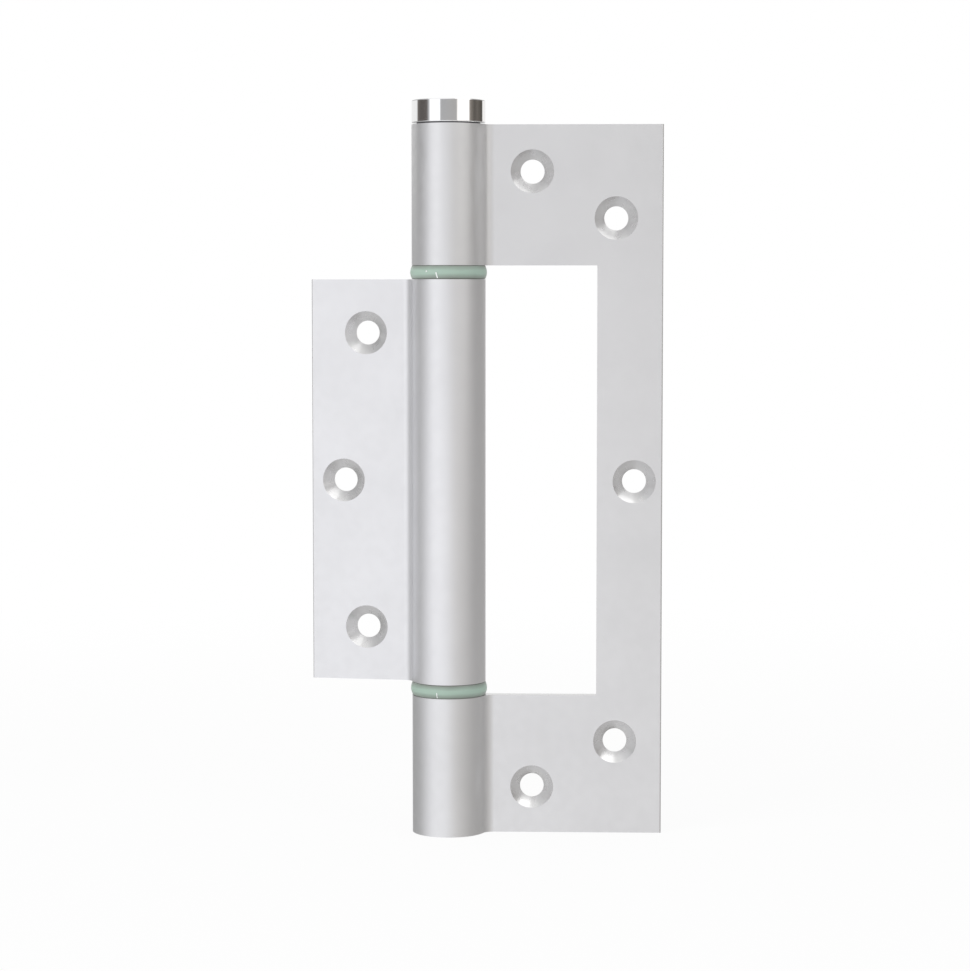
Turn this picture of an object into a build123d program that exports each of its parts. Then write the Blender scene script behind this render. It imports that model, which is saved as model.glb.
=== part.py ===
"""A single action spring hinge of the interfold kind, in anodised aluminium.

The frame leaf is a C-shaped leaf with an upper and a lower knuckle. The door leaf is shorter, carries the
middle knuckle, and folds into the frame leaf's window, so the closed hinge is one leaf thick. Both leaves
are cut from extruded profiles: a round barrel with a flat leaf through its axis and a fillet at the root.
A bearing ring with a crowned rim fills each gap between knuckles.

Inside, a torsion spring of rectangular wire stands in the middle knuckle. Its foot sits in an anchor that is locked
in the door leaf. Its head sits in a collar pinned to the spindle, which the tension cap turns from above.
The pivot pin is locked in the lower knuckle by a plug and a dog-point set screw.

Frame: millimetres, +Z up along the pivot axis towards the tension cap, with the origin at the centre of
the lower knuckle's end face. +X runs along the frame leaf, and the countersunk faces look along -Y.
"""

from build123d import *
import math
import os

# Barrel and leaves, both cut from extruded profiles
barrel_radius = 10.0
barrel_wall = 2.75
leaf_thickness = 3.0
root_fillet = 3.0
leaf_edge_radius = 0.4
knuckle_height = 37.75
door_leaf_height = 109.3
ring_gap = 3.75
frame_leaf_reach = 57.9
window_reach = 40.2
door_leaf_reach = 37.8
rest_swing = 8.5

# Countersunk screw holes
screw_hole_radius = 3.25
countersink_radius = 5.85
countersink_angle = 90.0
frame_inner_hole_x = 22.65
frame_inner_hole_inset = 12.55
frame_outer_hole_margin = 12.65
frame_outer_hole_inset = 25.1
frame_middle_hole_margin = 7.6
door_hole_x = 22.65
door_hole_inset = 14.45
door_middle_hole_margin = 8.85

# Bearing rings
ring_stand_out = 0.4
ring_crown = 0.35
ring_corner = 0.4
ring_clearance = 0.05

# Tension cap
cap_height = 6.1
cap_setback = 0.05
cap_edge_chamfer = 0.25
cap_washer_setback = 1.4
cap_washer_thickness = 0.35
key_across_flats = 8.0
key_depth = 7.0
key_chamfer = 0.4
spigot_length = 16.0
spigot_clearance = 0.05
drive_width = 6.8
drive_length = 7.5
drive_clearance = 0.05

# Spindle, pivot pin and bushes
bush_wall = 2.25
running_clearance = 0.05
collar_seat_clearance = 0.3
guide_clearance = 0.9
guide_depth = 5.5
pin_chamfer = 0.6
plug_floor = 6.0
plug_recess = 0.35
pin_engagement = 9.5
bush_recess = 0.25
frame_bush_lift = 3.5
door_upper_bush_length = 12.0
door_lower_bush_length = 10.0

# Spring, its anchor and its collar
wire_radial = 2.5
wire_axial = 4.0
spring_clearance = 0.45
least_coil_gap = 0.3
stations_per_turn = 16
spring_end_gap = 0.15
tang_width = 3.0
tang_depth = 4.0
tang_inset = 0.1
notch_clearance = 0.25
anchor_length = 12.0
anchor_gap = 0.2
collar_length = 8.5
collar_clearance = 0.35
collar_pin_radius = 1.25
collar_pin_inset = 5.5
washer_thickness = 0.8

# Dog-point set screws
set_screw_radius = 2.5
set_screw_clearance = 0.03
set_screw_sink = 0.25
dog_radius = 1.65
dog_bite = 0.1
dog_clearance = 0.1
set_screw_key = 2.5
set_screw_key_depth = 1.6
lock_drop = 5.3
anchor_screw_rise = 4.0
pivot_screw_height = 19.0

# Levels along the pivot axis
door_leaf_bottom = knuckle_height + ring_gap
door_leaf_top = door_leaf_bottom + door_leaf_height
upper_knuckle_bottom = door_leaf_top + ring_gap
frame_leaf_height = upper_knuckle_bottom + knuckle_height
lower_bush_bottom = door_leaf_bottom + bush_recess
anchor_bottom = lower_bush_bottom + door_lower_bush_length + anchor_gap
anchor_top = anchor_bottom + anchor_length
upper_bush_top = door_leaf_top - bush_recess
upper_bush_bottom = upper_bush_top - door_upper_bush_length
washer_bottom = upper_bush_bottom - ring_clearance - washer_thickness
collar_top = washer_bottom - ring_clearance
collar_bottom = collar_top - collar_length
cap_head_bottom = frame_leaf_height + cap_washer_thickness
spigot_bottom = frame_leaf_height - spigot_length
lock_level = frame_leaf_height - lock_drop
anchor_screw_level = anchor_bottom + anchor_screw_rise

# Radii of what fits together
bore_radius = barrel_radius - barrel_wall
ring_rim_radius = barrel_radius + ring_stand_out
cap_radius = barrel_radius - cap_setback
cap_washer_radius = barrel_radius - cap_washer_setback
journal_radius = bore_radius - bush_wall
journal_bore = journal_radius + running_clearance
dog_reach = journal_radius - dog_bite
spigot_radius = bore_radius - spigot_clearance
spring_outer_radius = bore_radius - spring_clearance
spring_inner_radius = spring_outer_radius - wire_radial
spring_mean_radius = spring_outer_radius - wire_radial / 2
collar_seat_radius = spring_inner_radius - collar_seat_clearance
guide_radius = spring_inner_radius - guide_clearance

# As many whole turns of the spring as fit between the anchor and the collar
spring_climb = collar_bottom - anchor_top - wire_axial - 2 * spring_end_gap
spring_turns = math.floor(spring_climb / (wire_axial + least_coil_gap))
spring_pitch = spring_climb / spring_turns

# Directions round the axis: the spring's foot is given in the door leaf's own frame
foot_angle = 20.0 - rest_swing
head_angle = foot_angle + 360.0 * spring_turns

ON_BASE = (Align.CENTER, Align.CENTER, Align.MIN)


def rod(radius, bottom, top):
    """A round bar on the pivot axis between two levels."""
    return Pos(0, 0, bottom) * Cylinder(radius, top - bottom, align=ON_BASE)


def sleeve(outer, inner, bottom, top):
    """A plain tube on the pivot axis between two levels."""
    return rod(outer, bottom, top) - rod(inner, bottom - 1, top + 1)


def ends_chamfered(shape, size):
    """Break the sharp rims of a bar's or tube's two end faces."""
    rims = shape.faces().filter_by(Axis.Z).edges().filter_by(GeomType.CIRCLE)
    outer = max(edge.radius for edge in rims)
    return chamfer([e for e in rims if e.radius > outer - size], size)


def at_door_rest(shape):
    """Swing a piece of the door leaf from its own frame to where the photograph shows it."""
    return shape.rotate(Axis.Z, -rest_swing)


# The extruded leaves
def leaf_profile(reach):
    """The extrusion's section: barrel, leaf through its axis, root fillets and eased outer edges."""
    section = Circle(barrel_radius) + Pos(reach / 2, 0) * Rectangle(reach, leaf_thickness)
    roots = section.vertices().filter_by(lambda v: v.X < barrel_radius)
    section = fillet(roots, root_fillet)
    corners = section.vertices().filter_by(lambda v: v.X > reach - leaf_edge_radius)
    return fillet(corners, leaf_edge_radius)


def screw_hole(x, z):
    """The cutter of one countersunk hole, its wide end at the leaf's front face."""
    past = leaf_thickness
    slope = math.tan(math.radians(countersink_angle / 2))
    sink_depth = (countersink_radius - screw_hole_radius) / slope
    front = leaf_thickness / 2
    hole = Cylinder(screw_hole_radius, leaf_thickness + 2 * past)
    sink = Pos(0, 0, front - sink_depth) * Cone(
        screw_hole_radius, countersink_radius + past * slope, sink_depth + past, align=ON_BASE
    )
    return Pos(x, 0, z) * Rot(90, 0, 0) * (hole + sink)


def set_screw_hole(level):
    """The cutter of a set screw's threaded hole, through the barrel's rear wall."""
    middle = (barrel_radius + bore_radius) / 2
    through = 2 * (barrel_radius - bore_radius)
    return Pos(0, middle, level) * Rot(90, 0, 0) * Cylinder(set_screw_radius, through)


def frame_leaf():
    """The C-shaped leaf: full-height extrusion with the window and the middle knuckle's place cut away."""
    leaf = extrude(leaf_profile(frame_leaf_reach), frame_leaf_height)
    window_width = window_reach + 2 * barrel_radius
    window_height = upper_knuckle_bottom - knuckle_height
    leaf -= Pos(window_reach - window_width / 2, 0, frame_leaf_height / 2) * Box(
        window_width, 4 * barrel_radius, window_height
    )
    leaf -= rod(bore_radius, -1, frame_leaf_height + 1)
    middle = frame_leaf_height / 2
    outer_hole_x = frame_leaf_reach - frame_outer_hole_margin
    for side in (-1, 1):
        leaf -= screw_hole(frame_inner_hole_x, middle + side * (middle - frame_inner_hole_inset))
        leaf -= screw_hole(outer_hole_x, middle + side * (middle - frame_outer_hole_inset))
    leaf -= screw_hole(frame_leaf_reach - frame_middle_hole_margin, middle)
    leaf -= set_screw_hole(lock_level)
    leaf -= set_screw_hole(pivot_screw_height)
    return leaf


def door_leaf():
    """The short leaf with the middle knuckle, made along +X like the frame leaf and then opened."""
    leaf = Pos(0, 0, door_leaf_bottom) * extrude(leaf_profile(door_leaf_reach), door_leaf_height)
    leaf -= rod(bore_radius, door_leaf_bottom - 1, door_leaf_top + 1)
    leaf = leaf.rotate(Axis.Z, 180)
    middle = (door_leaf_bottom + door_leaf_top) / 2
    spacing = door_leaf_height / 2 - door_hole_inset
    for side in (-1, 1):
        leaf -= screw_hole(-door_hole_x, middle + side * spacing)
    leaf -= screw_hole(door_middle_hole_margin - door_leaf_reach, middle)
    leaf -= set_screw_hole(anchor_screw_level)
    return at_door_rest(leaf)


# The bearing rings
def bearing_ring(bottom):
    """A thick washer with a crowned rim, chamfered at both faces and a little proud of the barrel."""
    thickness = ring_gap - ring_clearance
    shoulder = ring_rim_radius - ring_crown
    low_corner = (shoulder, ring_corner)
    high_corner = (shoulder, thickness - ring_corner)
    flat = shoulder - ring_corner
    section = make_face(
        Polyline(
            low_corner, (flat, 0), (journal_bore, 0), (journal_bore, thickness),
            (flat, thickness), high_corner,
        )
        + ThreePointArc(high_corner, (ring_rim_radius, thickness / 2), low_corner)
    )
    return Pos(0, 0, bottom) * revolve(Plane.XZ * section, Axis.Z)


# The tension cap and what it turns
def tension_cap():
    """The polished cap: a head with a key socket, and a spigot with lock groove and drive socket."""
    head_top = cap_head_bottom + cap_height
    cap = rod(cap_radius, cap_head_bottom, head_top)
    cap = chamfer(cap.edges().filter_by(GeomType.CIRCLE), cap_edge_chamfer)
    cap += rod(spigot_radius, spigot_bottom, cap_head_bottom)
    hexagon = RegularPolygon(key_across_flats / 2, 6, major_radius=False)
    cap -= Pos(0, 0, head_top - key_depth) * extrude(hexagon, key_depth + 1)
    lead_in = key_across_flats / math.sqrt(3)
    cap -= Pos(0, 0, head_top - key_chamfer) * Cone(
        lead_in - key_chamfer, lead_in + key_chamfer, 2 * key_chamfer, align=ON_BASE
    )
    groove = dog_radius + dog_clearance
    cap -= sleeve(bore_radius, dog_reach - dog_clearance, lock_level - groove, lock_level + groove)
    socket = drive_width + 2 * drive_clearance
    socket_depth = drive_length + drive_clearance
    cap -= Pos(0, 0, spigot_bottom) * Box(socket, socket, 2 * socket_depth)
    return cap


def cap_washer():
    """The thin washer under the cap's head, set back so that a dark line shows there."""
    return sleeve(cap_washer_radius, bore_radius, frame_leaf_height, cap_head_bottom)


def spindle():
    """The shaft under the cap: square drive, journal, collar seat and the rod that guides the spring."""
    journal_top = spigot_bottom - running_clearance
    shaft = rod(journal_radius, collar_top, journal_top)
    shaft += Pos(0, 0, journal_top) * Box(
        drive_width, drive_width, drive_length, align=ON_BASE
    )
    shaft += rod(collar_seat_radius, collar_bottom, collar_top)
    guide = rod(guide_radius, anchor_top - guide_depth + running_clearance, collar_bottom)
    guide = chamfer(guide.edges().sort_by(Axis.Z)[0], pin_chamfer)
    shaft += guide
    return shaft - collar_pin_hole()


def collar_pin_hole():
    """The cross hole that the collar and the spindle share."""
    level = collar_bottom + collar_pin_inset
    return Pos(0, 0, level) * Rot(0, 90, head_angle) * Cylinder(
        collar_pin_radius, 4 * bore_radius
    )


def collar_pin():
    """The straight pin that carries the spring's torque from the collar to the spindle."""
    length = 2 * (bore_radius - 2 * collar_clearance)
    pin = Pos(0, 0, collar_bottom + collar_pin_inset) * Rot(0, 90, head_angle) * Cylinder(
        collar_pin_radius, length
    )
    return pin & rod(bore_radius - collar_clearance, collar_bottom, collar_top)


def spring_collar():
    """The head end's driver: a sleeve with a notch for the spring's upper tang."""
    collar = sleeve(bore_radius - collar_clearance, collar_seat_radius, collar_bottom, collar_top)
    collar -= tang_notch(head_angle - tang_angle(), collar_bottom)
    return collar - collar_pin_hole()


def thrust_washer():
    """The thin washer between the collar and the door leaf's upper bush."""
    outer = bore_radius - collar_clearance
    return sleeve(outer, journal_bore, washer_bottom, washer_bottom + washer_thickness)


# The spring and its anchor
def tang_angle():
    """The angle that the middle of a tang lies ahead of the wire's end."""
    return math.degrees(tang_width / 2 / spring_mean_radius)


def tang_section(clearance, outer):
    """A tang's section: a piece of the wire's ring, as wide as the tang, centred on +X."""
    ring = Circle(outer) - Circle(spring_inner_radius + tang_inset - clearance)
    strip = Pos(bore_radius, 0) * Rectangle(2 * bore_radius, tang_width + 2 * clearance)
    return ring & strip


def tang_notch(angle, level):
    """The cutter of a notch, open to the outside, on both sides of a level."""
    section = tang_section(notch_clearance, 2 * bore_radius)
    depth = tang_depth + notch_clearance
    return Pos(0, 0, level - depth) * Rot(0, 0, angle) * extrude(section, 2 * depth)


def wire_corners(station):
    """The wire's four corners at one station of the helix."""
    angle = math.radians(360.0 * station / stations_per_turn)
    rise = spring_pitch * station / stations_per_turn
    inner, outer = spring_inner_radius, spring_outer_radius
    low, high = rise - wire_axial / 2, rise + wire_axial / 2
    return [
        Vector(radius * math.cos(angle), radius * math.sin(angle), z)
        for radius, z in ((inner, low), (outer, low), (outer, high), (inner, high))
    ]


def helical_coil():
    """The coil in short stretches, each side of the wire folded into two flat facets, to keep it light."""
    stations = [wire_corners(n) for n in range(spring_turns * stations_per_turn + 1)]
    outlines = [stations[0], stations[-1]]
    for here, ahead in zip(stations, stations[1:]):
        for corner in range(4):
            following = (corner + 1) % 4
            outlines.append([here[corner], here[following], ahead[following]])
            outlines.append([here[corner], ahead[following], ahead[corner]])
    return Solid(Shell([Face(Wire.make_polygon(outline)) for outline in outlines]))


def torsion_spring():
    """A coil of rectangular wire with a straight tang at each end, along the axis."""
    height = spring_pitch * spring_turns
    coil = helical_coil()
    section = tang_section(0, spring_outer_radius - tang_inset)
    tang_height = spring_end_gap + wire_axial / 2 + tang_depth
    foot_tang = Rot(0, 0, tang_angle()) * extrude(section, -tang_height)
    head_tang = Pos(0, 0, height) * Rot(0, 0, -tang_angle()) * extrude(section, tang_height)
    spring = coil + foot_tang + head_tang
    first_turn = anchor_top + spring_end_gap + wire_axial / 2
    return Pos(0, 0, first_turn) * Rot(0, 0, foot_angle) * spring


def spring_anchor():
    """The foot end's driver: a plug locked in the door leaf, with a notch and a hole for the guide."""
    anchor = rod(bore_radius, anchor_bottom, anchor_top)
    anchor -= rod(guide_radius + running_clearance, anchor_top - guide_depth, anchor_top + 1)
    anchor = anchor.rotate(Axis.Z, rest_swing)
    anchor = at_door_rest(anchor - dog_hole(anchor_screw_level, dog_reach - dog_clearance))
    return anchor - tang_notch(foot_angle + tang_angle(), anchor_top)


# Bushes, plug and pivot pin
def frame_upper_bush():
    """The bush that steadies the spindle in the upper knuckle."""
    bottom = upper_knuckle_bottom + frame_bush_lift
    return sleeve(bore_radius, journal_bore, bottom, spigot_bottom - bush_recess)


def door_upper_bush():
    """The bush in the top of the middle knuckle, which turns on the spindle."""
    return at_door_rest(sleeve(bore_radius, journal_bore, upper_bush_bottom, upper_bush_top))


def door_lower_bush():
    """The bush in the foot of the middle knuckle, which turns on the pivot pin."""
    top = lower_bush_bottom + door_lower_bush_length
    return at_door_rest(sleeve(bore_radius, journal_bore, lower_bush_bottom, top))


def lower_plug():
    """The closed sleeve that fills the lower knuckle and holds the pivot pin."""
    plug = rod(bore_radius, plug_recess, knuckle_height - bush_recess)
    plug -= rod(journal_radius, plug_floor, knuckle_height)
    return plug - dog_hole(pivot_screw_height, 0)


def pivot_pin():
    """The plain pin that the door leaf turns on, dimpled for the dog of its set screw."""
    pin = rod(journal_radius, plug_floor, lower_bush_bottom + pin_engagement)
    pin = ends_chamfered(pin, pin_chamfer)
    return pin - dog_hole(pivot_screw_height, dog_reach - dog_clearance)


def dog_hole(level, depth_radius):
    """The cutter of a set screw's dog hole, from the rear in to a distance from the axis."""
    length = barrel_radius - depth_radius
    hole = Cylinder(dog_radius + dog_clearance, length, align=ON_BASE)
    return Pos(0, barrel_radius, level) * Rot(90, 0, 0) * hole


def set_screw(level):
    """A dog-point set screw, flush in the barrel's rear wall, with a hexagon socket outside."""
    outside = barrel_radius - set_screw_sink
    threaded = outside - bore_radius - set_screw_clearance
    body = Cylinder(set_screw_radius - set_screw_clearance, threaded, align=ON_BASE)
    dog = Cylinder(dog_radius, outside - dog_reach, align=ON_BASE)
    hexagon = RegularPolygon(set_screw_key / 2, 6, major_radius=False)
    screw = body + dog - extrude(hexagon, set_screw_key_depth)
    return Pos(0, outside, level) * Rot(90, 0, 0) * screw


PIECES = {
    "frame_leaf": frame_leaf,
    "door_leaf": door_leaf,
    "upper_bearing_ring": lambda: bearing_ring(door_leaf_top + ring_clearance),
    "lower_bearing_ring": lambda: bearing_ring(knuckle_height),
    "tension_cap": tension_cap,
    "cap_washer": cap_washer,
    "spindle": spindle,
    "spring_collar": spring_collar,
    "collar_pin": collar_pin,
    "thrust_washer": thrust_washer,
    "torsion_spring": torsion_spring,
    "spring_anchor": spring_anchor,
    "frame_upper_bush": frame_upper_bush,
    "door_upper_bush": door_upper_bush,
    "door_lower_bush": door_lower_bush,
    "lower_plug": lower_plug,
    "pivot_pin": pivot_pin,
    "tension_lock_screw": lambda: set_screw(lock_level),
    "pivot_lock_screw": lambda: set_screw(pivot_screw_height),
    "anchor_lock_screw": lambda: at_door_rest(set_screw(anchor_screw_level)),
}


def main():
    os.makedirs("parts", exist_ok=True)
    for name, make in PIECES.items():
        piece = make()
        piece.label = name
        export_step(piece, f"parts/{name}.step")


main()
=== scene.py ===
# %% [markdown]
# A spring hinge, dressed over its solid model
#
# The hinge has two flat leaves on one round barrel, cut from silver anodised aluminium profiles. Two pale
# green rings part the barrel's three knuckles, and a polished cap on top winds the spring inside.
# The solid model comes in as a fixed frame in metres. The leaves keep its shape. What catches the eye in
# another way is modelled anew where the frame says it is: the rings, the cap, the set screws, the spring.
#
# %% Load the frame
import bpy
import math
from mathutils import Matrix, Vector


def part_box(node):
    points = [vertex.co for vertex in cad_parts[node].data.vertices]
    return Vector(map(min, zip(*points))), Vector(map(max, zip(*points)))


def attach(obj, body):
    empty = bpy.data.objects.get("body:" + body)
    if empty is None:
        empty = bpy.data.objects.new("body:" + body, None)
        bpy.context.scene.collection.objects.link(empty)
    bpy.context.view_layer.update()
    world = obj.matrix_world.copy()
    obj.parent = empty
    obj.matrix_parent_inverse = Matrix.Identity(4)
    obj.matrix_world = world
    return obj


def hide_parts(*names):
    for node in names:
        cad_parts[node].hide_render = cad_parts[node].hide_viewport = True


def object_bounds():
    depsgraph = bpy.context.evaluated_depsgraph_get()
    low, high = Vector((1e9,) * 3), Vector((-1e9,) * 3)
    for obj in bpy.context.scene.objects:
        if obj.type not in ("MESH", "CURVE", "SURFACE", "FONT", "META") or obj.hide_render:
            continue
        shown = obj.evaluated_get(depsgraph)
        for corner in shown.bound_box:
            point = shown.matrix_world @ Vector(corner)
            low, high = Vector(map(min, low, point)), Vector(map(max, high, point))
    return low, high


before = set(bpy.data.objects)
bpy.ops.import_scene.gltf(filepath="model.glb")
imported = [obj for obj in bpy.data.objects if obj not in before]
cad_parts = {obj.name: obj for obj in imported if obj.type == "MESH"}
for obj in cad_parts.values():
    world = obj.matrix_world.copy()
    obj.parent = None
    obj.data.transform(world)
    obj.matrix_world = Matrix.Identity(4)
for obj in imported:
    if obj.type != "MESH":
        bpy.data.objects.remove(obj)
cad_low, cad_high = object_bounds()
print("nodes:", sorted(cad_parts))

# %% [markdown]
# Helpers for modelling
#
# An operator acts on everything that is selected, and the loaded nodes are. So each piece starts with nothing
# selected, and faces or edges are then picked in code by where they are, as one would pick them by eye.
#
# %% Start clean
def clear_selection():
    bpy.ops.object.select_all(action="DESELECT")


def name_it(name):
    """Name the piece that an operator has just made, and its mesh."""
    piece = bpy.context.object
    piece.name = name
    piece.data.name = name
    return piece


def apply_place():
    """Put the piece's place, turn and size into its mesh."""
    bpy.ops.object.transform_apply(location=True, rotation=True, scale=True)


print("selected after loading:", len(bpy.context.selected_objects))


# %% Pick by place
def pick(piece, kind, wanted):
    """Select the vertices, edges or faces whose place passes the test, and return how many."""
    bpy.ops.object.mode_set(mode="EDIT")
    bpy.ops.mesh.select_mode(type={"verts": "VERT", "edges": "EDGE", "faces": "FACE"}[kind])
    bpy.ops.mesh.select_all(action="DESELECT")
    bpy.ops.object.mode_set(mode="OBJECT")
    mesh, picked = piece.data, 0
    for item in {"verts": mesh.vertices, "edges": mesh.edges, "faces": mesh.polygons}[kind]:
        if kind == "verts":
            hit = wanted(item.co)
        elif kind == "edges":
            hit = wanted(*[mesh.vertices[v].co for v in item.vertices])
        else:
            hit = wanted(item.center, item.normal)
        item.select = bool(hit)
        picked += bool(hit)
    bpy.ops.object.mode_set(mode="EDIT")
    return picked


print("a vertex is picked by its place, an edge by its two ends, a face by its middle and normal")

# %% Settle a finished mesh
WELD = 1e-6


def select_all_of_it():
    bpy.ops.object.mode_set(mode="EDIT")
    bpy.ops.mesh.select_all(action="SELECT")


def settle(piece, smooth_angle=35):
    """Leave edit mode with sound normals, the place in the mesh, and smooth shading between soft edges."""
    select_all_of_it()
    bpy.ops.mesh.remove_doubles(threshold=WELD)
    bpy.ops.mesh.normals_make_consistent(inside=False)
    bpy.ops.object.mode_set(mode="OBJECT")
    clear_selection()
    piece.select_set(True)
    bpy.context.view_layer.objects.active = piece
    apply_place()
    bpy.ops.object.shade_smooth_by_angle(angle=math.radians(smooth_angle))
    print(piece.name, "has", len(piece.data.polygons), "faces")


# %% [markdown]
# Helpers for materials
#
# Every finish here is a Principled surface whose colour, roughness and bump come from noise on Object
# coordinates, which are metres on this hinge. A scale of 1000 then means features about a millimetre wide.
# Stretching the noise along one axis turns its spots into lines, as a die or a lathe tool leaves them.
#
# %% Nodes and their sockets
def feed(tree, value, socket):
    """Set a socket to a value, or link another node's output into it."""
    if isinstance(value, bpy.types.NodeSocket):
        tree.links.new(value, socket)
    else:
        socket.default_value = value


def add_node(tree, kind, **sockets):
    """Add a shader node and feed the sockets that are named, with _ for a space."""
    node = tree.nodes.new("ShaderNode" + kind)
    for name, value in sockets.items():
        feed(tree, value, node.inputs[name.replace("_", " ")])
    return node


def new_finish(name, **sockets):
    """A Principled material whose named sockets are set, with its tree and its shader."""
    material = bpy.data.materials.new(name)
    material.use_nodes = True
    shader = material.node_tree.nodes["Principled BSDF"]
    for socket, value in sockets.items():
        shader.inputs[socket.replace("_", " ")].default_value = value
    return material, material.node_tree, shader


print("nodes are added by kind, and fed by socket")


# %% Arithmetic in nodes
def maths(tree, operation, *values):
    """One step of arithmetic on numbers or on other nodes' outputs."""
    step = add_node(tree, "Math")
    step.operation = operation
    for value, socket in zip(values, step.inputs):
        feed(tree, value, socket)
    return step.outputs["Value"]


def length(tree, vector):
    """How long a vector is."""
    step = add_node(tree, "VectorMath")
    step.operation = "LENGTH"
    feed(tree, vector, step.inputs[0])
    return step.outputs["Value"]


# A Mix node holds sockets for numbers, for vectors and for colours, and these are the colours' own
MIX_FIRST, MIX_SECOND, MIX_RESULT = 6, 7, 2


def mixed(tree, share, first, second):
    """The first colour where the share is 0, and the second where it is 1."""
    both = add_node(tree, "Mix")
    both.data_type = "RGBA"
    feed(tree, share, both.inputs["Factor"])
    feed(tree, first, both.inputs[MIX_FIRST])
    feed(tree, second, both.inputs[MIX_SECOND])
    return both.outputs[MIX_RESULT]


print("a Mix node's colours are its sockets", MIX_FIRST, "and", MIX_SECOND)

# %% Noise, spread and relief
NOISE_SPAN = (0.3, 0.7)


def grain(tree, scale, detail=2.0, stretch=(1, 1, 1)):
    """Noise on the piece's own coordinates, stretched by a Mapping node."""
    place = add_node(tree, "TexCoord")
    mapping = add_node(tree, "Mapping", Scale=stretch, Vector=place.outputs["Object"])
    noise = add_node(tree, "TexNoise", Scale=scale, Detail=detail, Vector=mapping.outputs["Vector"])
    return noise.outputs["Fac"]


def between(tree, value, low, high):
    """Spread the span that noise mostly keeps to between two numbers or two colours."""
    if isinstance(low, tuple):
        ramp = add_node(tree, "ValToRGB", Fac=value)
        for stop, position, colour in zip(ramp.color_ramp.elements, NOISE_SPAN, (low, high)):
            stop.position = position
            stop.color = (*colour, 1)
        return ramp.outputs["Color"]
    spread = add_node(
        tree, "MapRange", Value=value, From_Min=NOISE_SPAN[0], From_Max=NOISE_SPAN[1], To_Min=low, To_Max=high
    )
    return spread.outputs["Result"]


def relief(tree, shader, value, depth, strength=1.0):
    """Bump the surface by a 0 to 1 height of this depth in metres. A second call rides on the first."""
    bump = add_node(tree, "Bump", Strength=strength, Distance=depth, Height=value)
    before = shader.inputs["Normal"].links
    if before:
        feed(tree, before[0].from_socket, bump.inputs["Normal"])
    feed(tree, bump.outputs["Normal"], shader.inputs["Normal"])


print("noise is spread from", NOISE_SPAN[0], "to", NOISE_SPAN[1])

# %% [markdown]
# The camera
#
# The photograph was taken from far off with a long lens, a little to the right of the hinge and level with
# its upper half, looking slightly down. The same place, turn and lens here make the outlines fall on the
# photograph's, which any later comparison needs. Depth of field stays off, as the photograph is sharp.
#
# %% Camera
camera_place = (0.034146, -0.721073, 0.147389)
camera_down, camera_left = 0.0726, 0.0337
clear_selection()
bpy.ops.object.camera_add(location=camera_place, rotation=(math.pi / 2 - camera_down, 0, camera_left))
camera = bpy.context.object
camera.data.sensor_width = 36
camera.data.lens = 98.66
bpy.context.scene.camera = camera
print("camera", round(-camera_place[1], 3), "m away, lens", camera.data.lens, "mm")

# %% [markdown]
# The silver anodised aluminium
#
# Anodising etches the metal to a satin skin before it grows the clear oxide, so the leaves are pale, even and
# a little soft in their reflections. What is left of the extrusion are faint lines along the profile. Metal
# with middling roughness gives the satin, and noise stretched along Z gives the lines. A picture texture
# could do it too, but noise has no edges, and needs no unwrapping.
#
# The leaves' ends, the window, the holes and the countersinks are cut after the extrusion. They are greyer
# and smoother, and have no lines. A surface knows them by where it faces and how far it is from the pivot.
#
# %% Where a leaf is cut
ROOT = 0.0142
FACES_ALONG = 0.9
door_turn = math.radians(8.5)


def cut_faces(tree, turn):
    """1 on a leaf's cut faces and 0 on its plain ones. The leaf is turned by an angle about the pivot."""
    place = add_node(tree, "TexCoord")
    straight = add_node(tree, "Mapping", Rotation=(0, 0, turn))
    straight.vector_type = "NORMAL"
    feed(tree, place.outputs["Normal"], straight.inputs["Vector"])
    facing = add_node(tree, "SeparateXYZ", Vector=straight.outputs["Vector"])
    off_flat = maths(tree, "LESS_THAN", maths(tree, "ABSOLUTE", facing.outputs["Y"]), FACES_ALONG)
    level = add_node(tree, "VectorMath")
    level.operation = "MULTIPLY"
    feed(tree, place.outputs["Object"], level.inputs[0])
    feed(tree, (1, 1, 0), level.inputs[1])
    past_root = maths(tree, "GREATER_THAN", length(tree, level.outputs["Vector"]), ROOT)
    is_end = maths(tree, "GREATER_THAN", maths(tree, "ABSOLUTE", facing.outputs["Z"]), FACES_ALONG)
    return maths(tree, "MAXIMUM", maths(tree, "MULTIPLY", off_flat, past_root), is_end)


# %% Anodised finish
CUT_PALE, CUT_DEEP = (0.766, 0.764, 0.761), (0.754, 0.751, 0.749)
SATIN = (0.38, 0.44)
CUT_IS_SMOOTHER = -0.12
PLAIN_RELIEF, CUT_RELIEF = 0.5, 0.06


def anodised(name, pale, deep, turn):
    """Satin metal with lines along the profile, but not on the cut faces."""
    material, tree, shader = new_finish(name, Metallic=1.0)
    cut = cut_faces(tree, turn)
    cloud, drift, speck = grain(tree, 60, 3), grain(tree, 450, 0), grain(tree, 2500, 2)
    colour = mixed(tree, cut, between(tree, cloud, deep, pale), between(tree, drift, CUT_DEEP, CUT_PALE))
    feed(tree, colour, shader.inputs["Base Color"])
    rough = maths(tree, "MULTIPLY_ADD", cut, CUT_IS_SMOOTHER, between(tree, drift, *SATIN))
    feed(tree, rough, shader.inputs["Roughness"])
    share = add_node(tree, "MapRange", Value=cut, To_Min=PLAIN_RELIEF, To_Max=CUT_RELIEF).outputs["Result"]
    die_lines = grain(tree, 2200, 2, stretch=(1, 1, 0.006))
    relief(tree, shader, die_lines, 4e-6, share)
    relief(tree, shader, speck, 1.6e-6, share)
    return material


# The door leaf's copy is paler than the frame leaf's: painted light, for the leaf that is turned towards the brighter
# left
frame_silver = anodised("anodised_silver_frame", (0.80, 0.80, 0.803), (0.77, 0.77, 0.773), 0)
door_silver_painted_paler = anodised("anodised_silver_door", (0.83, 0.83, 0.838), (0.80, 0.80, 0.808), door_turn)
print("finishes:", frame_silver.name, "and", door_silver_painted_paler.name)


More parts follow.
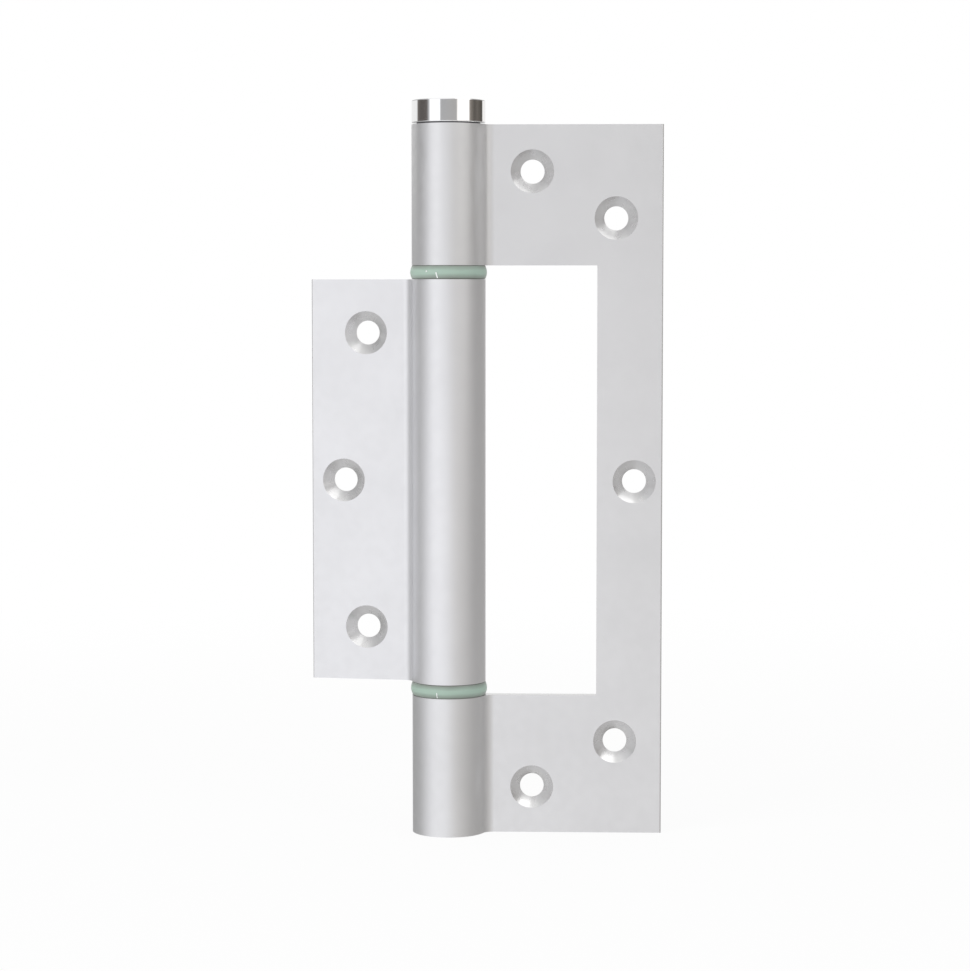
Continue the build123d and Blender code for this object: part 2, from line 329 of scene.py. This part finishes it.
# %% Dress the leaves
def dress(name, material):
    """Give a node of the frame its finish."""
    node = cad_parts[name]
    node.data.materials.clear()
    node.data.materials.append(material)


dress("frame_leaf", frame_silver)
dress("door_leaf", door_silver_painted_paler)
print("leaves are dressed")

# %% [markdown]
# The bearing rings
#
# A ring could be a lathed curve or a torus. Here its section is drawn as a flat rectangle, whose outer
# corners are bevelled and whose outer side is crowned, and spun round the pivot axis: the way that a mould
# is turned, and the one that keeps both faces flat.
#
# %% Ring section
RING_STEPS = 144
RING_NODES = ("upper_bearing_ring", "lower_bearing_ring")
ring_bore = 0.00505
bevel, crown = 0.0004, 0.00035


def ring_section(name, low, high):
    """A flat plane with rounded outer corners, and an outer side that is cut in steps for the crown."""
    rim = high.x
    clear_selection()
    bpy.ops.mesh.primitive_plane_add(
        size=1, location=((rim - crown + ring_bore) / 2, 0, (low.z + high.z) / 2), rotation=(math.pi / 2, 0, 0)
    )
    section = name_it(name)
    section.scale = (rim - crown - ring_bore, high.z - low.z, 1)
    apply_place()
    pick(section, "verts", lambda co: co.x > rim - 2 * crown)
    bpy.ops.mesh.bevel(affect="VERTICES", offset=bevel, segments=4)
    pick(section, "edges", lambda a, b: min(a.x, b.x) > rim - crown - WELD)
    bpy.ops.mesh.subdivide(number_cuts=7)
    bpy.ops.object.mode_set(mode="OBJECT")
    return section


# %% Crown and spin
def spun_ring(name, node):
    """A ring with a crowned rim, spun from its section."""
    low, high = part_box(node)
    ring = ring_section(name, low, high)
    middle, half = (low.z + high.z) / 2, (high.z - low.z) / 2 - bevel
    for vertex in ring.data.vertices:
        if vertex.co.x > high.x - crown - WELD:
            vertex.co.x += crown * (1 - ((vertex.co.z - middle) / half) ** 2)
    select_all_of_it()
    bpy.ops.mesh.delete(type="ONLY_FACE")
    bpy.ops.mesh.select_all(action="SELECT")
    bpy.ops.mesh.spin(steps=RING_STEPS, angle=2 * math.pi, center=(0, 0, 0), axis=(0, 0, 1))
    settle(ring, 50)
    return ring


rings = [spun_ring(name, node) for name, node in zip(("upper_ring", "lower_ring"), RING_NODES)]

# %% [markdown]
# The marks of the mould
#
# Where the plastic entered the mould, a nub is left after it breaks off, and where the mould's halves meet,
# a sliver of flash. Both are coloured near white as a painted highlight, for the glints on them. Each is a thin
# bar here, subdivided along its length, rounded at its corners and bent to the rim's curve, and then laid on
# the front of the ring.
#
# %% A bar to bend
SAME_LINE = 1e-7


def rounded_bar(name, width, deep, tall):
    """A thin bar that is cut in steps along its length and rounded at its edges."""
    clear_selection()
    bpy.ops.mesh.primitive_cube_add(size=1)
    bar = name_it(name)
    bar.scale = (width, deep, tall)
    apply_place()
    pick(bar, "edges", lambda a, b: abs(a.z - b.z) > 0.9 * tall)
    bpy.ops.mesh.subdivide(number_cuts=7)
    pick(bar, "edges", lambda a, b: min(abs(a.z), abs(b.z)) > 0.49 * tall or (
        abs(a.x - b.x) < SAME_LINE and abs(a.y - b.y) < SAME_LINE))
    bpy.ops.mesh.bevel(offset=0.3 * min(width, deep, tall), segments=3, affect="EDGES")
    bpy.ops.object.mode_set(mode="OBJECT")
    return bar


print("a bar's edges are rounded by 0.3 of its least size")

# %% Nub and flash
mark_depth = 0.0004
sunk_share = 0.35


def rim_drop(level, half):
    """How far the ring's side lies inside its widest line, at a level from the ring's middle."""
    if abs(level) <= half:
        return crown * (level / half) ** 2
    over = min(abs(level) - half, bevel)
    return crown + bevel - math.sqrt(bevel ** 2 - over ** 2)


def mould_mark(name, node, angle, low, high, width, slant=0):
    """A bar on the rim between two levels above its foot, at an angle from the front, positive to the right."""
    ring_low, ring_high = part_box(node)
    middle, centre = (ring_high.z - ring_low.z) / 2, (low + high) / 2
    mark = rounded_bar(name, width, mark_depth, high - low)
    for vertex in mark.data.vertices:
        vertex.co.y += rim_drop(vertex.co.z + centre - middle, middle - bevel) + sunk_share * mark_depth
    turn = math.radians(angle)
    mark.rotation_euler = (0, math.radians(slant), turn)
    mark.location = (ring_high.x * math.sin(turn), -ring_high.x * math.cos(turn), ring_low.z + centre)
    settle(mark, 60)
    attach(mark, "frame")
    return mark


# %% Lay the marks
marks = [
    mould_mark("upper_ring_nub", "upper_bearing_ring", -32.3, 0.00185, 0.00235, 0.0005),
    mould_mark("upper_ring_flash", "upper_bearing_ring", -15.5, 0.0002, 0.0018, 0.00038, slant=-11),
    mould_mark("lower_ring_flash", "lower_bearing_ring", -16.0, 0.0002, 0.0017, 0.00025),
]

# %% [markdown]
# The ring's plastic
#
# The plastic is unfilled and lets a little light in. Light goes a short way into it and comes out again,
# which softens its shading and makes it glow. Subsurface scattering does this at the right depth, here about
# a millimetre. Each ring's colour is painted palest at the middle of its rim and darker towards both faces:
# painted shade, for where the knuckles shade it. A faint cloudiness stands for the flow of the melt.
#
# %% Ring tones, with painted shade
# The darker colour is painted shade towards the knuckles
RING_SHADED, RING_PALE = (0.215, 0.232, 0.208), (0.385, 0.505, 0.432)
TONE_START = 0.2
CLOUD_SHARE = 0.45


def ring_shaded_tones(tree, levels, half):
    """Painted shade: pale at the rings' levels and darker away from them, towards the knuckles, with a faint
    cloudiness.
    """
    place = add_node(tree, "TexCoord")
    height = add_node(tree, "SeparateXYZ", Vector=place.outputs["Object"]).outputs["Z"]
    away = [maths(tree, "ABSOLUTE", maths(tree, "SUBTRACT", height, level)) for level in levels]
    near = add_node(
        tree, "MapRange", Value=maths(tree, "MINIMUM", *away), From_Max=half, To_Min=1.0, To_Max=0.0
    )
    melt = grain(tree, 160, 3, stretch=(1, 1, 2.5))
    ramp = add_node(
        tree, "ValToRGB", Fac=maths(tree, "MULTIPLY_ADD", melt, CLOUD_SHARE, near.outputs["Result"])
    )
    for stop, position, colour in zip(ramp.color_ramp.elements, (TONE_START, 1.0), (RING_SHADED, RING_PALE)):
        stop.position = position
        stop.color = (*colour, 1)
    return ramp.outputs["Color"]


print("ring colours from", RING_SHADED, "to", RING_PALE)

# %% Ring finish
ring_spans = [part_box(node) for node in RING_NODES]
ring_levels = [(low.z + high.z) / 2 for low, high in ring_spans]
ring_half = (ring_spans[0][1].z - ring_spans[0][0].z) / 2
ring_plastic, tree, shader = new_finish(
    "pale_green_plastic", Subsurface_Weight=0.35, Subsurface_Scale=0.0012, IOR=1.48,
    Subsurface_Radius=(0.8, 1.0, 0.85),
)
feed(tree, ring_shaded_tones(tree, ring_levels, ring_half), shader.inputs["Base Color"])
feed(tree, between(tree, grain(tree, 900, 2), 0.28, 0.38), shader.inputs["Roughness"])
relief(tree, shader, grain(tree, 1500, 2), 3e-6, 0.4)
for ring, node in zip(rings, RING_NODES):
    ring.data.materials.append(ring_plastic)
    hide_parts(node)
    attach(ring, "frame")

# %% Plastic painted white for a highlight
# Near white: a painted highlight for the glints on the mould marks
WHITE_DEEP, WHITE_PALE = (0.93, 0.96, 0.94), (0.97, 0.99, 0.98)
glint_white, tree, shader = new_finish(
    "whitened_plastic", Subsurface_Weight=0.3, Subsurface_Scale=0.0005, Subsurface_Radius=(1, 1, 1)
)
feed(tree, between(tree, grain(tree, 3000, 2), WHITE_DEEP, WHITE_PALE), shader.inputs["Base Color"])
feed(tree, between(tree, grain(tree, 2000, 2), 0.3, 0.5), shader.inputs["Roughness"])
relief(tree, shader, grain(tree, 6000, 2), 8e-6, 0.6)
for mark in marks:
    mark.data.materials.append(glint_white)
print(len(marks), "marks are whitened")

# %% [markdown]
# The tension cap
#
# The cap is turned, polished and plated, with a hexagon socket in which a key winds the spring. A mirror
# shows every facet, so it gets its own finely divided cylinder: the top is inset three times and sunk to make
# the socket, and its rims are bevelled until they catch a thin light. The socket's hexagon is six-sided by
# moving the insets' points onto it, which leaves no cut through the top face.
#
# %% Round bars and hexagons
def round_bar(name, sides, radius, bottom, top):
    """An upright cylinder on the axis between two levels."""
    clear_selection()
    bpy.ops.mesh.primitive_cylinder_add(
        vertices=sides, radius=radius, depth=top - bottom, location=(0, 0, (bottom + top) / 2)
    )
    bar = name_it(name)
    apply_place()
    return bar


def on_hexagon(angle, flats):
    """How far the side of a hexagon of this width across its flats is from the axis in this direction."""
    step = math.pi / 3
    return flats / 2 / math.cos((angle + step / 2) % step - step / 2)


def off_axis(co):
    return math.hypot(co.x, co.y)


print("a hexagon 8 mm wide reaches", round(on_hexagon(math.pi / 6, 8), 2), "mm out at its corners")

# %% Sink a socket
# In widths across the flats: the three insets, what parts them from each other, and the lead-in's slope
INSETS = (0.72, 0.61, 0.575)
WITHIN_FIRST, WITHIN_SECOND = 0.66, 0.59
LEAD = 0.045


def sink_hexagon(piece, radius, flats, depth):
    """Inset a round bar's top face three times, draw two of the rings to a hexagon, and sink the inner one."""
    top = max(vertex.co.z for vertex in piece.data.vertices)
    circles, lead = [share * flats for share in INSETS], LEAD * flats
    pick(piece, "faces", lambda co, normal: normal.z > 0.9)
    for outer, inner in zip([radius] + circles, circles):
        bpy.ops.mesh.inset(thickness=outer - inner)
    bpy.ops.object.mode_set(mode="OBJECT")
    for vertex in piece.data.vertices:
        reach = off_axis(vertex.co)
        if reach > WITHIN_FIRST * flats or vertex.co.z < top - WELD:
            continue
        angle = math.atan2(vertex.co.y, vertex.co.x)
        inner = reach < WITHIN_SECOND * flats
        side = on_hexagon(angle, flats) + (0 if inner else lead)
        vertex.co = (side * math.cos(angle), side * math.sin(angle), top - (lead if inner else 0))
    pick(piece, "faces", lambda co, normal: normal.z > 0.9 and off_axis(co) < 0.1 * flats
         and top - 2 * lead < co.z < top)
    bpy.ops.mesh.extrude_region_move(TRANSFORM_OT_translate={"value": (0, 0, lead - depth)})
    bpy.ops.object.mode_set(mode="OBJECT")


print("a socket's lead-in is", LEAD, "of its width")

# %% Cap
CAP_SIDES = 180
key_flats, key_depth = 0.008, 0.007
cap_low, cap_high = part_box("tension_cap")
washer_low, washer_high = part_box("cap_washer")
cap_radius = cap_high.x
cap = round_bar("polished_cap", CAP_SIDES, cap_radius, washer_high.z, cap_high.z)
sink_hexagon(cap, cap_radius, key_flats, key_depth)
pick(cap, "edges", lambda a, b: min(off_axis(a), off_axis(b)) > cap_radius - 1e-5 and abs(a.z - b.z) < WELD)
bpy.ops.mesh.bevel(offset=0.00025, segments=3, affect="EDGES")
settle(cap, 15)

# %% [markdown]
# Polished plating
#
# Bright plating mirrors the studio, so its look is mostly what stands round it. It is never perfect: a very
# low roughness that varies, and a breath of unevenness round the turned side, keep the reflections alive.
#
# %% Cap finish
PLATE_DEEP, PLATE_PALE = (0.86, 0.86, 0.86), (0.90, 0.90, 0.90)
polished, tree, shader = new_finish("polished_plating", Metallic=1.0)
feed(tree, between(tree, grain(tree, 90, 2), PLATE_DEEP, PLATE_PALE), shader.inputs["Base Color"])
feed(tree, between(tree, grain(tree, 700, 3, stretch=(1, 1, 8)), 0.06, 0.11), shader.inputs["Roughness"])
relief(tree, shader, grain(tree, 500, 1, stretch=(0.2, 0.2, 3)), 1.5e-6, 0.3)
cap.data.materials.append(polished)
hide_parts("tension_cap")
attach(cap, "tension")

# %% [markdown]
# The set screws
#
# Three short screws in the barrel's rear wall hold the cap, the spring's anchor and the pivot pin. Each has a
# hexagon socket, a broken rim and a thinner end, the dog, that reaches into the part behind. One is modelled
# upright on the axis and copied three times, each copy with its own mesh, and then laid in its hole.
#
# %% Set screw
SCREW_SIDES = 48
bore_wall = 0.00728
dog_radius = 0.00165
screw_flats, screw_key_depth = 0.0025, 0.0016
screw_low, screw_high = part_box("pivot_lock_screw")
screw_radius, screw_face = screw_high.x, screw_high.y
pattern = round_bar("set_screw_pattern", SCREW_SIDES, screw_radius, bore_wall - screw_face, 0)
pick(pattern, "faces", lambda co, normal: normal.z < -0.9)
bpy.ops.mesh.inset(thickness=screw_radius - dog_radius)
bpy.ops.mesh.extrude_region_move(TRANSFORM_OT_translate={"value": (0, 0, screw_low.y - bore_wall)})
bpy.ops.object.mode_set(mode="OBJECT")
sink_hexagon(pattern, screw_radius, screw_flats, screw_key_depth)
dog_end = min(vertex.co.z for vertex in pattern.data.vertices)
pick(pattern, "edges", lambda a, b: abs(a.z - b.z) < SAME_LINE and (
    min(off_axis(a), off_axis(b)) > screw_radius - 1e-5 or max(a.z, b.z) < dog_end + WELD))
bpy.ops.mesh.bevel(offset=0.0002, segments=2, affect="EDGES")
settle(pattern, 35)

# %% Lay each copy in its hole
set_screws = []
for node, body, turn in (
    ("tension_lock_screw", "frame", 0), ("pivot_lock_screw", "frame", 0), ("anchor_lock_screw", "door", -door_turn)
):
    low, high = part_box(node)
    clear_selection()
    pattern.select_set(True)
    bpy.context.view_layer.objects.active = pattern
    bpy.ops.object.duplicate(linked=False)
    screw = name_it(node + "_piece")
    screw.rotation_euler = (-math.pi / 2, 0, turn)
    screw.location = (-screw_face * math.sin(turn), screw_face * math.cos(turn), (low.z + high.z) / 2)
    apply_place()
    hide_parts(node)
    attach(screw, body)
    set_screws.append(screw)
bpy.data.objects.remove(pattern)
print(len(set_screws), "set screws")

# %% [markdown]
# The torsion spring
#
# Rectangular wire, wound on edge round the guide rod, with a straight tang at each end that drops into the
# anchor and rises into the collar. A curve with a bevel would twist such a wire, so its section is drawn as
# a plane and wound by a Screw modifier, which keeps it square to the axis. The real spring winds up between
# its tangs. Here its coils turn with the door leaf, and the upper tang is a piece of its own that stays with
# the collar, so that neither end leaves its slot as the hinge swings.
#
# %% The wire's section
wire_inner, wire_outer, wire_height = 0.0043, 0.0068, 0.004
wire_corner = 0.0003
tang_reach = 0.00615
spring_low, spring_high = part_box("torsion_spring")
first_turn = spring_low.z + tang_reach
last_turn = spring_high.z - tang_reach
clear_selection()
bpy.ops.mesh.primitive_plane_add(
    size=1, location=((wire_inner + wire_outer) / 2, 0, first_turn), rotation=(math.pi / 2, 0, 0)
)
spring = name_it("wound_spring")
spring.scale = (wire_outer - wire_inner, wire_height, 1)
apply_place()
select_all_of_it()
bpy.ops.mesh.bevel(affect="VERTICES", offset=wire_corner, segments=2)
bpy.ops.mesh.delete(type="ONLY_FACE")
bpy.ops.object.mode_set(mode="OBJECT")

# %% Wind the spring
spring_turns = 14
climb = spring_high.z - spring_low.z - 2 * tang_reach
winding = spring.modifiers.new("winding", "SCREW")
winding.axis = "Z"
winding.angle = 2 * math.pi * spring_turns
winding.screw_offset = climb
winding.steps = winding.render_steps = 40 * spring_turns
winding.use_smooth_shade = True
bpy.ops.object.modifier_apply(modifier="winding")

# %% Close the wire's ends
foot_angle = math.radians(11.5)
for z_end in (first_turn, first_turn + climb):
    picked = pick(spring, "edges", lambda a, b: a.x > 0 and b.x > 0 and max(abs(a.y), abs(b.y)) < WELD
                  and max(abs(a.z - z_end), abs(b.z - z_end)) < wire_height / 2 + 1e-5)
    bpy.ops.mesh.edge_face_add()
bpy.ops.object.mode_set(mode="OBJECT")
spring.rotation_euler.z = foot_angle
settle(spring, 40)

# %% Tangs
tang_ahead = math.radians(15.5)
tang_middle, tang_thick, tang_wide = 0.005475, 0.00215, 0.003
tangs = {}
for name, angle, low, high in (
    ("spring_lower_tang", foot_angle + tang_ahead, spring_low.z, first_turn),
    ("spring_upper_tang", foot_angle - tang_ahead, first_turn + climb, spring_high.z),
):
    clear_selection()
    bpy.ops.mesh.primitive_cube_add(
        size=1, rotation=(0, 0, angle),
        location=(tang_middle * math.cos(angle), tang_middle * math.sin(angle), (low + high) / 2),
    )
    tang = name_it(name)
    tang.scale = (tang_thick, tang_wide, high - low)
    apply_place()
    select_all_of_it()
    bpy.ops.mesh.bevel(offset=0.00025, segments=2, affect="EDGES")
    bpy.ops.object.mode_set(mode="OBJECT")
    settle(tang, 40)
    tangs[name] = tang

# %% Join the lower tang to the coils
clear_selection()
for part in (tangs["spring_lower_tang"], spring):
    part.select_set(True)
bpy.context.view_layer.objects.active = spring
bpy.ops.object.join()
upper_tang = tangs["spring_upper_tang"]
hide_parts("torsion_spring")
for part, body in ((spring, "door"), (upper_tang, "tension")):
    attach(part, body)
print("spring has", len(spring.data.polygons), "faces")

# %% [markdown]
# The parts in the dark
#
# The washer under the cap, the bushes and the steel parts inside are hardly seen, but they show through the
# screw holes, at the knuckles' ends and when the hinge is taken apart. Turned steel gets rings from the tool
# round the axis: noise that is stretched across and squeezed along Z. Bushes are a dull dark plastic.
#
# %% Hidden finishes
def turned_metal(name, pale, deep, rough):
    material, tree, shader = new_finish(name, Metallic=1.0)
    feed(tree, between(tree, grain(tree, 300, 2), deep, pale), shader.inputs["Base Color"])
    tool_marks = grain(tree, 900, 2, stretch=(0.05, 0.05, 4))
    feed(tree, between(tree, tool_marks, rough, rough + 0.12), shader.inputs["Roughness"])
    relief(tree, shader, tool_marks, 4e-6, 0.5)
    return material


def dull_plastic(name, pale, deep):
    material, tree, shader = new_finish(name)
    feed(tree, between(tree, grain(tree, 500, 3), deep, pale), shader.inputs["Base Color"])
    feed(tree, between(tree, grain(tree, 1200, 2), 0.42, 0.58), shader.inputs["Roughness"])
    relief(tree, shader, grain(tree, 2500, 2), 6e-6, 0.5)
    return material


steel = turned_metal("turned_steel", (0.60, 0.59, 0.58), (0.50, 0.49, 0.48), 0.22)
dark_steel = turned_metal("dark_steel", (0.16, 0.16, 0.17), (0.10, 0.10, 0.11), 0.3)
bush_plastic = dull_plastic("bush_plastic", (0.10, 0.10, 0.10), (0.06, 0.06, 0.06))
plug_plastic = dull_plastic("plug_plastic", (0.18, 0.18, 0.18), (0.13, 0.13, 0.13))
print("hidden finishes:", [made.name for made in (steel, dark_steel, bush_plastic, plug_plastic)])

# %% Dress the hidden parts
for material, names in (
    (steel, ("spindle", "spring_collar", "collar_pin", "thrust_washer", "spring_anchor", "pivot_pin")),
    (bush_plastic, ("frame_upper_bush", "door_upper_bush", "door_lower_bush")),
    (plug_plastic, ("lower_plug",)),
    # The cap washer is a real part, and its dark steel also stands as painted shade for the shadow line under the cap
    (dark_steel, ("cap_washer",)),
):
    for name in names:
        dress(name, material)
    print(material.name, "on", ", ".join(names))
for part in (*set_screws, spring, upper_tang):
    part.data.materials.append(dark_steel)

# %% [markdown]
# Floor and backdrop
#
# The hinge stands on its end on a plain pale floor. The photograph's ground is pure white, so the floor
# glows white to the camera, and near the hinge it keeps a small part of its own shading for the soft shadow.
# Metal doesn't mirror it, because in the photograph the bands on the barrel run straight down to its foot.
#
# %% Floor
clear_selection()
bpy.ops.mesh.primitive_plane_add(size=6, location=(0, 0, cad_low.z))
floor = name_it("floor")
apply_place()
floor.visible_glossy = False


# %% White to the camera
def white_rays(tree):
    """1 for the rays that see plain white: from the camera, in mirrors and through glass."""
    rays = add_node(tree, "LightPath")
    seen = rays.outputs["Is Camera Ray"]
    for ray in ("Is Glossy Ray", "Is Transmission Ray"):
        seen = maths(tree, "MAXIMUM", seen, rays.outputs[ray])
    return seen


def show_mixed(tree, share, shaded, white, output):
    """Send a mix of two shaders to the tree's output."""
    mix = add_node(tree, "MixShader", Fac=share)
    feed(tree, shaded, mix.inputs[1])
    feed(tree, white, mix.inputs[2])
    feed(tree, mix.outputs["Shader"], tree.nodes[output].inputs["Surface"])


print("plain white is shown by kind of ray")

# %% Floor paint
near_hinge, far_off = 0.12, 0.55
floor_paint, tree, shader = new_finish("white_floor", Base_Color=(0.85, 0.85, 0.85, 1), Roughness=0.9)
away = length(tree, add_node(tree, "TexCoord").outputs["Object"])
share = add_node(
    tree, "MapRange", Value=away, From_Min=near_hinge, From_Max=far_off, To_Min=0.92, To_Max=1.0
)
share.interpolation_type = "SMOOTHSTEP"
white_share = maths(tree, "MULTIPLY", white_rays(tree), share.outputs["Result"])
glow = add_node(tree, "Emission")
show_mixed(tree, white_share, shader.outputs["BSDF"], glow.outputs["Emission"], "Material Output")
floor.data.materials.append(floor_paint)
print("floor is all white from", far_off, "m")

# %% [markdown]
# The room's light
#
# The world is an even soft light on the hinge. To the camera and in reflections it is the same plain white
# as the floor, so the hinge stands on white whichever way one looks.
#
# %% World
room_light = 0.7
world = bpy.data.worlds.new("studio")
bpy.context.scene.world = world
world.use_nodes = True
tree = world.node_tree
fill = tree.nodes["Background"]
feed(tree, (1, 1, 1, 1), fill.inputs["Color"])
feed(tree, room_light, fill.inputs["Strength"])
white = add_node(tree, "Background", Color=(1, 1, 1, 1), Strength=1.0)
show_mixed(tree, white_rays(tree), fill.outputs["Background"], white.outputs["Background"], "World Output")
print("room light", room_light)

# %% [markdown]
# A tent for the metal to mirror
#
# Satin and polished metal show what stands round them. A photographer puts a small hinge in a tent of white
# cloth and pins grey and dark cards on it, which give a round barrel its soft shading and a polished cap its
# bands. Here the tent is a round wall with a ground, toned by the direction from the hinge. A band at the
# height which the cap mirrors has the hard-edged cards, and the rest has broad soft tones for the satin.
# The wall goes on below the floor, for the barrel's foot to mirror. Only reflections see the tent, so it
# neither darkens the hinge nor stands in the picture.
#
# %% Tones round the tent
# Degrees from the front, positive to the right, and how bright the cloth or card is there
card_tones = [
    (-180, 0.95), (-113, 0.95), (-107, 0.16), (-90, 0.1), (-68, 0.13), (-61, 0.45), (-55, 1.3), (-25, 1.3),
    (-21, 0.44), (28, 0.44), (31, 1.3), (68, 1.3), (73, 0.28), (79, 0.21), (90, 0.11), (104, 0.15), (120, 0.11),
    (131, 0.07), (136, 0.95), (180, 0.95),
]
cloth_tones = [
    (-180, 0.9), (-165, 0.8), (-150, 0.42), (-120, 0.44), (-98, 0.46), (-72, 0.77), (-50, 1.06), (-20, 1.045),
    (0, 0.98), (20, 0.735), (50, 0.6), (75, 0.47), (95, 0.42), (110, 0.45), (150, 0.44), (165, 0.85), (180, 0.9),
]
ground_tones = [
    (-180, 0.75), (-140, 0.6), (-98, 0.62), (-60, 0.7), (0, 0.65), (50, 0.42), (98, 0.32), (140, 0.4), (180, 0.7),
]
print("tones:", len(card_tones), "on the cards,", len(cloth_tones), "on the wall,", len(ground_tones), "on the ground")

# %% Their tints
CARD_TINT, LEFT_CARD_TINT = (1.0, 0.9, 0.8), (1.03, 0.93, 0.88)
WARM_CLOTH, COOL_CLOTH, PLAIN_CLOTH = (1.0, 0.98, 0.965), (0.993, 0.995, 1.02), (1, 1, 1)
DARK_CARD = 0.3


def tint_at(angle, tone):
    """Brown on the dark cards, most at the right; warm on the cloth at the right and cool at the front left."""
    if abs(angle) > 60 and tone < DARK_CARD:
        return CARD_TINT if angle > 0 else LEFT_CARD_TINT
    if 20 <= angle <= 150:
        return WARM_CLOTH
    return COOL_CLOTH if -75 < angle <= 0 else PLAIN_CLOTH


print("tint of the cloth at 50 degrees:", tint_at(50, 0.6))

# %% A ramp of tones
cap_band = (0.2, 0.275)


def tone_ramp(tree, turn, tones):
    """A colour ramp on the angle round the tent, one stop a tone."""
    ramp = add_node(tree, "ValToRGB")
    stops = ramp.color_ramp.elements
    while len(stops) < len(tones):
        stops.new(0.5)
    for stop, (angle, tone) in zip(stops, tones):
        stop.position = 0.5 + angle / 360
    for stop, (angle, tone) in zip(stops, tones):
        red, green, blue = tint_at(angle, tone)
        stop.color = (tone * red, tone * green, tone * blue, 1)
    feed(tree, turn, ramp.inputs["Fac"])
    return ramp.outputs["Color"]


def in_cap_band(tree, place):
    """1 at the height that the cap mirrors."""
    height = add_node(tree, "SeparateXYZ", Vector=place).outputs["Z"]
    return maths(tree, "COMPARE", height, sum(cap_band) / 2, (cap_band[1] - cap_band[0]) / 2)


print("the cap mirrors the wall from", cap_band[0], "to", cap_band[1], "m")


# %% Cloth that glows
def glowing(name):
    """A material that only glows, with its tree and its Emission node."""
    material = bpy.data.materials.new(name)
    material.use_nodes = True
    tree = material.node_tree
    tree.nodes.clear()
    light = add_node(tree, "Emission")
    add_node(tree, "OutputMaterial", Surface=light.outputs["Emission"])
    return material, tree, light


def tent_cloth(name, tones, band_tones=None):
    """Cloth that glows by its direction from the hinge, with other tones in the cap's band."""
    cloth, tree, light = glowing(name)
    place = add_node(tree, "TexCoord").outputs["Object"]
    front = add_node(tree, "Mapping", Rotation=(0, 0, math.pi / 2), Vector=place)
    around = add_node(tree, "TexGradient", Vector=front.outputs["Vector"])
    around.gradient_type = "RADIAL"
    turn = around.outputs["Fac"]
    tone = tone_ramp(tree, turn, tones)
    if band_tones:
        tone = mixed(tree, in_cap_band(tree, place), tone, tone_ramp(tree, turn, band_tones))
    feed(tree, tone, light.inputs["Color"])
    print(name, "has", len(tones), "tones")
    return cloth


# %% Tent
TENT_SIDES = 96
tent_radius = 0.6
tent_low, tent_high = -0.4, 1.1
tent = round_bar("light_tent", TENT_SIDES, tent_radius, tent_low, tent_high)
pick(tent, "faces", lambda co, normal: normal.z > 0.9)
bpy.ops.mesh.delete(type="FACE")
bpy.ops.object.mode_set(mode="OBJECT")
tent.data.materials.append(tent_cloth("tent_wall", cloth_tones, card_tones))
tent.data.materials.append(tent_cloth("tent_ground", ground_tones))
for face in tent.data.polygons:
    face.material_index = int(face.normal.z < -0.9)


# %% Only mirrors see it
def only_mirrored(piece):
    piece.visible_camera = False
    piece.visible_diffuse = False
    piece.visible_shadow = False
    piece.visible_transmission = False


only_mirrored(tent)
print("tent", tent_radius, "m in radius, from", tent_low, "to", tent_high, "m")

# %% [markdown]
# The spark in the countersinks
#
# In the photograph each countersink has one bright patch at its lower left. That part of the cone faces up
# and to the right, so a small bright card hangs high at the right side of the tent.
#
# %% High card
card_size, card_glow = 0.52, 1.85
clear_selection()
bpy.ops.mesh.primitive_plane_add(size=card_size, location=(0.32, -0.03, 0.6), rotation=(0, math.radians(27), 0))
high_card = name_it("high_card")
apply_place()
bright, tree, light = glowing("high_card")
feed(tree, (1, 1, 1, 1), light.inputs["Color"])
feed(tree, card_glow, light.inputs["Strength"])
high_card.data.materials.append(bright)
only_mirrored(high_card)
print("high card", card_size, "m wide")

# %% [markdown]
# Lamps
#
# Two large soft lamps stand where the bright bands come from: the stronger one at the front left, which makes
# the door leaf and the left of the barrel brightest, and a weaker one at the front right. They light the
# rings and the floor. Mirrors don't show them, because the tent has their bands already.
#
# %% Lamps
aim_height = 0.1


def soft_lamp(name, angle, height, distance, size, power):
    """A square soft lamp at an angle from the front, aimed at the hinge's middle."""
    turn = math.radians(angle)
    tilt = math.atan2(height - aim_height, distance)
    clear_selection()
    bpy.ops.object.light_add(
        type="AREA", location=(distance * math.sin(turn), -distance * math.cos(turn), height),
        rotation=(math.pi / 2 - tilt, 0, turn),
    )
    lamp = bpy.context.object
    lamp.name = name
    lamp.data.shape = "SQUARE"
    lamp.data.size = size
    lamp.data.energy = power
    lamp.visible_glossy = False
    print(name, "lamp", power, "W at", angle, "degrees")


soft_lamp("key", -48, 0.7, 1.1, 0.7, 6)
soft_lamp("fill", 45, 0.6, 1.2, 0.6, 2)

# %% [markdown]
# The picture
#
# The Standard view shows colours as they are set, which a comparison with the photograph needs.
#
# %% View settings
bpy.context.scene.view_settings.view_transform = "Standard"
